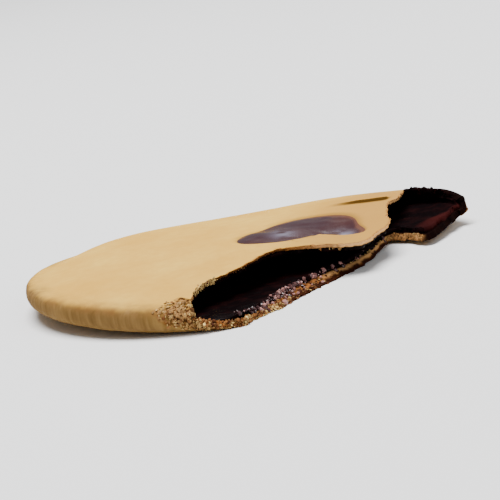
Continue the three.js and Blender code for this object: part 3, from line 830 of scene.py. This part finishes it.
# Sugar lumps. Along the lower lip the torn sugar broke into small glassy lumps and crystals, which
# lie on the crumb and sparkle.
LUMP_COUNT = 190
LUMP_CORNERS = 12
LOWEST_LOOSE = 0.05


def icosahedron():
    """The twelve corners of an icosahedron of radius 1, from the golden ratio, and its twenty faces."""
    golden = (1 + 5**0.5) / 2
    corners = np.array([(0, a, b * golden) for a in (-1, 1) for b in (-1, 1)], float)
    corners = np.concatenate([np.roll(corners, turn, axis=1) for turn in range(3)])
    corners /= np.linalg.norm(corners[0])
    apart = np.linalg.norm(corners[:, None] - corners[None], axis=-1)
    touching = (apart > 0.1) & (apart < 1.1)
    faces = [
        (a, b, c)
        for a in range(LUMP_CORNERS)
        for b in range(a + 1, LUMP_CORNERS)
        for c in range(b + 1, LUMP_CORNERS)
        if touching[a, b] and touching[b, c] and touching[a, c]
    ]
    faces = np.array(faces)
    first, second, third = (corners[faces[:, corner]] for corner in range(3))
    outward = np.einsum("ij,ij->i", np.cross(second, third), first)
    faces[outward < 0] = faces[outward < 0][:, ::-1]
    return corners, faces


def turned(draw, count):
    """Random rotations as (count, 3, 3), from random unit quaternions."""
    w, x, y, z = unit(draw.normal(size=(count, 4))).T
    rows = [
        [1 - 2 * (y * y + z * z), 2 * (x * y - z * w), 2 * (x * z + y * w)],
        [2 * (x * y + z * w), 1 - 2 * (x * x + z * z), 2 * (y * z - x * w)],
        [2 * (x * z - y * w), 2 * (y * z + x * w), 1 - 2 * (x * x + y * y)],
    ]
    return np.moveaxis(np.array(rows), -1, 0)


def scattered(draw, places, sizes, stretch, dent):
    """One small lump at each place: an icosahedron with uneven corners, stretched, turned and scaled."""
    corners, faces = icosahedron()
    count = len(places)
    shape = corners[None] * (1 + dent * draw.uniform(-1, 1, (count, LUMP_CORNERS, 1)))
    shape = shape * draw.uniform(1 - stretch, 1 + stretch, (count, 1, 3))
    shape = np.einsum("nij,nkj->nki", turned(draw, count), shape) * sizes[:, None, None]
    points = (shape + places[:, None]).reshape(-1, 3)
    numbers = faces[None] + LUMP_CORNERS * np.arange(count)[:, None, None]
    return points, numbers.reshape(-1, 3)


def loose_piece(name, points, faces, material, marks, node, smooth_faces=True):
    """Lumps or flakes as one piece that keeps off the floor. Each mark has one value for each of them."""
    points[:, 2] = np.maximum(points[:, 2], LOWEST_LOOSE)
    marks = {mark: np.repeat(values, len(points) // len(values)) for mark, values in marks.items()}
    make_piece(name, points, faces, material, marks, node, smooth_faces)


draw = np.random.default_rng(7)
lump_t = np.where(draw.random(LUMP_COUNT) < 0.8, draw.normal(0.17, 0.09, LUMP_COUNT), draw.random(LUMP_COUNT))
lump_t = np.clip(lump_t, 0, 0.64)
in_neck = smooth(lump_t, 0.38, 0.46)
column = np.searchsorted(crust_t, lump_t)
coat_column = np.clip(np.searchsorted(coat_t, lump_t), 0, COAT_COLUMNS)
lip, coat_edge = lattice[column, -1, -1], coat_lattice[coat_column, -1, 1]
inward = draw.normal(0.12, 0.35, LUMP_COUNT) - 0.2 * in_neck
layer = np.round(CRUST_LAYERS * np.clip(1 + inward, 0.3, 1)).astype(int)
places = np.where(inward[:, None] < 0, lattice[column, -1, layer], mix(lip, coat_edge, inward[:, None]))
at_end = lump_t == 0
coat_row = draw.integers(COAT_ROWS[0] + 8, coat_lattice.shape[1], LUMP_COUNT)
on_coat = coat_lattice[draw.integers(0, 5, LUMP_COUNT), coat_row, 1]
places = np.where(at_end[:, None], on_coat, places)
sizes = 0.2 + 0.5 * draw.random(LUMP_COUNT) ** 1.2 * (1 - 0.4 * in_neck)
places[:, 2] += draw.uniform(0.0, 0.3, LUMP_COUNT)
places += draw.normal(0, 0.15, places.shape)
points, faces = scattered(draw, places, sizes, 0.35, 0.15)
# The palest lumps are pale pink: partly paler crystals, partly painted highlights.
pale = draw.random(LUMP_COUNT) ** 3.2
lump_sugar = sugar_material("sugar_lumps", paint(38, 12, 18), paint(188, 134, 126), 0.25, 0.3, 0.15, 2.0)
loose_piece("sugar_lumps", points, faces, lump_sugar, {"thin": pale}, "brown_sugar", False)


# The knobs. At the far end of the upper torn edge the sugar boiled over and set in dark, dull knobs,
# which stand on the edge, highest where the roof ends and the wall goes on alone.
KNOB_COUNT = 160

knob_draw = np.random.default_rng(11)
knob_t = knob_draw.uniform(0.9, 0.985, KNOB_COUNT)
swollen = between(knob_t, (0.9, 0.94), (0.95, 0.985))
knob_layer = knob_draw.integers(0, CRUST_LAYERS + 1, KNOB_COUNT)
places = lattice[np.searchsorted(crust_t, knob_t), 0, knob_layer]
places = places + knob_draw.normal(0, 0.12, places.shape)
places[:, 2] += swollen * knob_draw.uniform(0.1, 0.45, KNOB_COUNT)
sizes = mix(0.2, 0.8, swollen) * knob_draw.uniform(0.75, 1.1, KNOB_COUNT)
points, faces = scattered(knob_draw, places, sizes, 0.2, 0.1)
knob_marks = {"thin": 0.5 * knob_draw.random(KNOB_COUNT) ** 3, "dull": np.ones(KNOB_COUNT)}
loose_piece("sugar_knobs", points, faces, sugar, knob_marks, "brown_sugar")


# Crumbs. Tearing broke the dry dough into crumbs that cling to both torn edges. Most lie on the lower
# lip and on the near end of the sheet, and a few on the upper edge, on the tip and on the neck between.
CRUMB_COUNT = 700
ON_LIP, ON_UPPER_EDGE, ON_NEAR_END, ON_TIP, ON_NECK = range(5)
CRUMB_SHARES = [0.38, 0.08, 0.34, 0.14, 0.06]


def crumb_material():
    """Loose crumb: the colour of the torn crumb, from pale dough to toasted by the two marks."""
    material, tree, place = new_material("torn_crumb")
    grain = use_group(tree, GRAIN, place, 1.6)
    crumb = blend(tree, grain["Fine"], paint(112, 60, 28), paint(165, 110, 58))
    crumb = blend(tree, mark(tree, "pale"), crumb, paint(232, 200, 126))
    colour = blend(tree, mark(tree, "toasted"), crumb, paint(66, 28, 8))
    normal = bumped(tree, 0.4, 0.0002, grain["Height"])
    inputs = {"Base Color": colour, "Roughness": 0.8, "Normal": normal, "Specular IOR Level": 0.15}
    finish_material(tree, inputs)
    return material


def on_near_end(draw, count, first_row, last_row):
    """Places on the near end of the sheet between two of its rows, at random depths."""
    row = draw.uniform(first_row, last_row, count)
    above = row.astype(int)
    depth = draw.integers(0, CRUST_LAYERS + 1, count)
    return mix(lattice[0, above, depth], lattice[0, above + 1, depth], (row - above)[:, None])


kind = draw.choice(5, CRUMB_COUNT, p=CRUMB_SHARES)
lip_t, other_t = draw.beta(0.9, 1.8, CRUMB_COUNT) * 0.42, draw.uniform(0.01, 0.28, CRUMB_COUNT)
crumb_t = np.where(kind == ON_LIP, lip_t, other_t)
crumb_t = np.where(kind == ON_TIP, draw.uniform(0.66, 0.785, CRUMB_COUNT), crumb_t)
crumb_t = np.where(kind == ON_NECK, draw.uniform(0.4, 0.64, CRUMB_COUNT), crumb_t)
column = np.searchsorted(crust_t, crumb_t)
layer = draw.integers(2, CRUST_LAYERS, CRUMB_COUNT) - (crumb_t < 0.35) * draw.integers(0, 2, CRUMB_COUNT)
layer = np.where(kind == ON_NECK, CRUST_LAYERS, layer)
last_row = lattice.shape[1] - 1
on_lower = kind != ON_UPPER_EDGE
places = lattice[column, np.where(on_lower, last_row, 0), layer]
low_end = on_near_end(draw, CRUMB_COUNT, top_rows + 8, last_row)
places = np.where((kind == ON_NEAR_END)[:, None], low_end + draw.normal(0, 0.2, low_end.shape), places)
sizes = np.where(on_lower, draw.uniform(0.14, 0.46, CRUMB_COUNT), draw.uniform(0.06, 0.2, CRUMB_COUNT))
sizes = np.where(kind == ON_NECK, 0.6 * sizes, sizes)
points, faces = scattered(draw, places + draw.uniform(-0.15, 0.15, places.shape), sizes, 0.4, 0.25)
toasted = draw.random(CRUMB_COUNT) + 0.5 * (kind == ON_LIP) * smooth(crumb_t, 0.1, 0.2)
toasted = np.where(kind == ON_TIP, 0.6, 1) * np.clip(toasted, 0, 1)
pale = draw.random(CRUMB_COUNT) ** 4 * np.where(kind == ON_TIP, 0.6, 1) + 0.15 * (kind == ON_TIP)
pale = np.where(kind == ON_NECK, 0.7, pale)
crumb = crumb_material()
loose_piece("crumbs", points, faces, crumb, {"toasted": toasted, "pale": pale}, "crust", False)


# Corner flakes. At the mouth's near corner the skin cracked as the piece was torn off, and lifted as
# thin curled flakes of baked crust over the top and the side of the rim.
CORNER_FLAKES = 240


def flakes_at(draw, places, facing, sizes):
    """Thin curled plates with uneven outlines: lattices of 5 x 5 x 2 points, laid on a surface."""
    count = len(places)
    u, v = np.meshgrid(np.linspace(-1, 1, 5), np.linspace(-1, 1, 5), indexing="ij")
    uneven_edge = 1 + 0.3 * draw.uniform(-1, 1, (count, 5, 5, 1))
    corner = np.stack([u, v], -1) * (1 - 0.25 * (u**2 * v**2))[..., None]
    flat = corner[None] * uneven_edge * draw.uniform(0.5, 1, (count, 1, 1, 2))
    curl = draw.uniform(-0.1, 0.55, (count, 1, 1)) * flat[..., 0] ** 2
    sheets = [np.concatenate([flat, (curl + side)[..., None]], -1) for side in (-0.05, 0.06)]
    plates = np.stack(sheets, axis=3) * sizes[:, None, None, None, None]
    spin = draw.uniform(0, 2 * np.pi, count)
    helper = np.stack([np.cos(spin), np.sin(spin), 0.3 * np.ones(count)], -1)
    across = unit(np.cross(facing, helper))
    along = np.cross(across, facing)
    axes = np.stack([along, across, facing], axis=1)
    plates[..., 2] += plates[..., 0] * draw.uniform(-0.5, 0.5, (count, 1, 1, 1))
    laid = np.einsum("nuvsk,nkj->nuvsj", plates, axes) + places[:, None, None, None]
    faces = lattice_sides((5, 5, 2))[None] + 5 * 5 * 2 * np.arange(count)[:, None, None]
    return laid.reshape(-1, 3), faces.reshape(-1, 4)


def facing_out(column, row, layer, rows_on, layers_on):
    """The unit normal of the sheet at a lattice place, from its neighbours, away from the hollow."""
    here = lattice[column, row, layer]
    ahead = lattice[np.minimum(column + 3, CRUST_COLUMNS), row, layer] - here
    down = lattice[column, row + rows_on, layer + layers_on] - here
    facing = unit(np.cross(down, ahead))
    from_middle = here - [0, 0, 3]
    return here, facing * np.sign(np.einsum("ij,ij->i", facing, from_middle))[:, None]


outward = draw.beta(1, 1.4, CORNER_FLAKES)
column = np.searchsorted(crust_t, outward * 0.036 + 0.0005)
row = draw.integers(top_rows - 5, top_rows + rim_rows - 3, CORNER_FLAKES)
here, facing = facing_out(column, row, 0, 2, 0)
sizes = draw.uniform(0.26, 0.62, CORNER_FLAKES) * (1 - 0.3 * outward)
points, faces = flakes_at(draw, here + facing * 0.12, facing, sizes)
marks = {"toasted": 0.75 * draw.random(CORNER_FLAKES) ** 1.4, "pale": 0.6 * draw.random(CORNER_FLAKES)}
loose_piece("corner_flakes", points, faces, crumb, marks, "crust")


# Lip flakes. Thin flakes of crumb lift from the lower torn face, toasted next to the outer skin and
# pale at the heel, at the tear's near end.
LIP_FLAKES = 170

flake_t = draw.beta(0.9, 1.8, LIP_FLAKES) * 0.42
column = np.searchsorted(crust_t, flake_t)
layer = draw.integers(0, CRUST_LAYERS - 1, LIP_FLAKES)
here, facing = facing_out(column, np.full(LIP_FLAKES, lattice.shape[1] - 1), layer, 0, 1)
points, faces = flakes_at(draw, here + facing * 0.1, facing, draw.uniform(0.2, 0.5, LIP_FLAKES))
toasted = 1.1 - layer / CRUST_LAYERS - draw.random(LIP_FLAKES) + 0.5 * smooth(flake_t, 0.1, 0.2)
toasted = np.clip(toasted, 0, 1)
at_heel = (layer == 0) * smooth(0.12 - flake_t, 0, 0.05)
marks = {"toasted": toasted * (1 - at_heel), "pale": np.maximum(at_heel, draw.random(LIP_FLAKES) ** 3)}
loose_piece("lip_flakes", points, faces, crumb, marks, "crust")


# Edge flakes. Pale flakes of dough stand off the sheet's near end, and along the start of the upper
# torn edge, where the roof tore upward.
END_FLAKES, EDGE_FLAKES = 150, 110

end = on_near_end(draw, END_FLAKES, top_rows - 6, last_row)
row = np.argmin(np.linalg.norm(lattice[0, :, 3][None] - end[:, None], axis=-1), axis=1)
facing = unit(lattice[0, row, 3] - lattice[4, row, 3])
points, faces = flakes_at(draw, end + facing * 0.1, facing, draw.uniform(0.25, 0.6, END_FLAKES))
column = np.searchsorted(crust_t, 0.002 + 0.09 * draw.beta(1, 1.6, EDGE_FLAKES))
here, facing = facing_out(column, np.zeros(EDGE_FLAKES, int), draw.integers(0, 4, EDGE_FLAKES), 0, 1)
sizes = draw.uniform(0.35, 0.9, EDGE_FLAKES)
edge_points, edge_faces = flakes_at(draw, here + facing * 0.1, facing, sizes)
high = smooth(end[:, 2], 2, 4)
end_pale = mix(draw.random(END_FLAKES) ** 3.5, 1, high * 0.8)
pale = np.concatenate([end_pale, draw.uniform(0.4, 1, EDGE_FLAKES)])
toasted = draw.random(END_FLAKES + EDGE_FLAKES) ** np.append(mix(1.0, 4, high), np.full(EDGE_FLAKES, 4))
faces = np.concatenate([faces, edge_faces + len(points)])
points = np.concatenate([points, edge_points])
loose_piece("edge_flakes", points, faces, crumb, {"toasted": toasted, "pale": pale}, "crust")


# Hanging crumbs. A few threads of crumb hang from the upper torn edge over the middle of the mouth,
# where the dough stretched before it broke.
SPIKE_COUNT = 9

column = np.searchsorted(crust_t, draw.uniform(0.345, 0.395, SPIKE_COUNT))
sizes = draw.uniform(0.09, 0.17, SPIKE_COUNT)
points, faces = scattered(draw, np.zeros((SPIKE_COUNT, 3)), sizes, 0.2, 0.2)
hanging = draw.uniform(1.5, 4, SPIKE_COUNT)
points = points * np.repeat(np.stack([0 * hanging + 1, 0 * hanging + 1, hanging], -1), LUMP_CORNERS, axis=0)
points = points + np.repeat(lattice[column, 0, -1] - [0, 0, 0.2], LUMP_CORNERS, axis=0)
marks = {"toasted": 0.4 * draw.random(SPIKE_COUNT), "pale": 0.6 * draw.random(SPIKE_COUNT)}
loose_piece("hanging_crumbs", points, faces, crumb, marks, "crust", False)


# The stage: a plain pale floor, soft white light from above, and the camera, which looks along the
# pastry as the photograph does: 11 degrees above it, from 560 mm away, rolled by 10 degrees.
FLOOR_HALF = 6.0
floor_mesh = bpy.data.meshes.new("floor")
floor_corners = [(x * FLOOR_HALF, y * FLOOR_HALF, 0) for x, y in ((-1, -1), (1, -1), (1, 1), (-1, 1))]
floor_mesh.from_pydata(floor_corners, [], [(0, 1, 2, 3)])
floor = bpy.data.objects.new("floor", floor_mesh)
bpy.context.scene.collection.objects.link(floor)
floor_material, tree, _ = new_material("pale_floor")
finish_material(tree, {"Base Color": (0.86, 0.86, 0.86, 1), "Roughness": 0.7})
floor_mesh.materials.append(floor_material)

world = bpy.data.worlds.new("soft_room")
bpy.context.scene.world = world
world.use_nodes = True
background = world.node_tree.nodes["Background"].inputs
background["Color"].default_value = (0.95, 0.97, 1.0, 1)
background["Strength"].default_value = 0.35


def softbox(name, place, size, power, aim=(0, 0, 0.005)):
    light = bpy.data.lights.new(name, "AREA")
    light.shape, light.size, light.energy = "DISK", size, power
    lamp = bpy.data.objects.new(name, light)
    lamp.location = place
    lamp.rotation_euler = (Vector(aim) - Vector(place)).to_track_quat("-Z", "Y").to_euler()
    bpy.context.scene.collection.objects.link(lamp)


softbox("key", (-0.2, 0.3, 2.0), 1.6, 105.0)
softbox("fill", (1.0, -1.2, 1.0), 1.0, 8.0)
softbox("back", (0.3, 1.3, 0.42), 0.2, 0.5)

ELEVATION, ROLL = np.radians(11.35), np.radians(9.95)
DISTANCE, TARGET_HEIGHT = 0.56, 0.006
FOCAL_PIXELS, CROP_PIXELS, SENSOR = 1144, 264, 36
right = Vector((1, 0, 0))
up = Vector((0, np.sin(ELEVATION), np.cos(ELEVATION)))
forward = Vector((0, np.cos(ELEVATION), -np.sin(ELEVATION)))
camera_data = bpy.data.cameras.new("camera")
camera_data.sensor_width = SENSOR
camera_data.lens = SENSOR * FOCAL_PIXELS / CROP_PIXELS
camera = bpy.data.objects.new("camera", camera_data)
target = Vector((-ORIGIN[0] / 1000, -ORIGIN[1] / 1000, TARGET_HEIGHT))
camera_right = right * np.cos(ROLL) - up * np.sin(ROLL)
camera_up = right * np.sin(ROLL) + up * np.cos(ROLL)
axes = Matrix((camera_right, camera_up, -forward)).transposed()
camera.matrix_world = Matrix.Translation(target - forward * DISTANCE) @ axes.to_4x4()
bpy.context.scene.collection.objects.link(camera)
bpy.context.scene.camera = camera
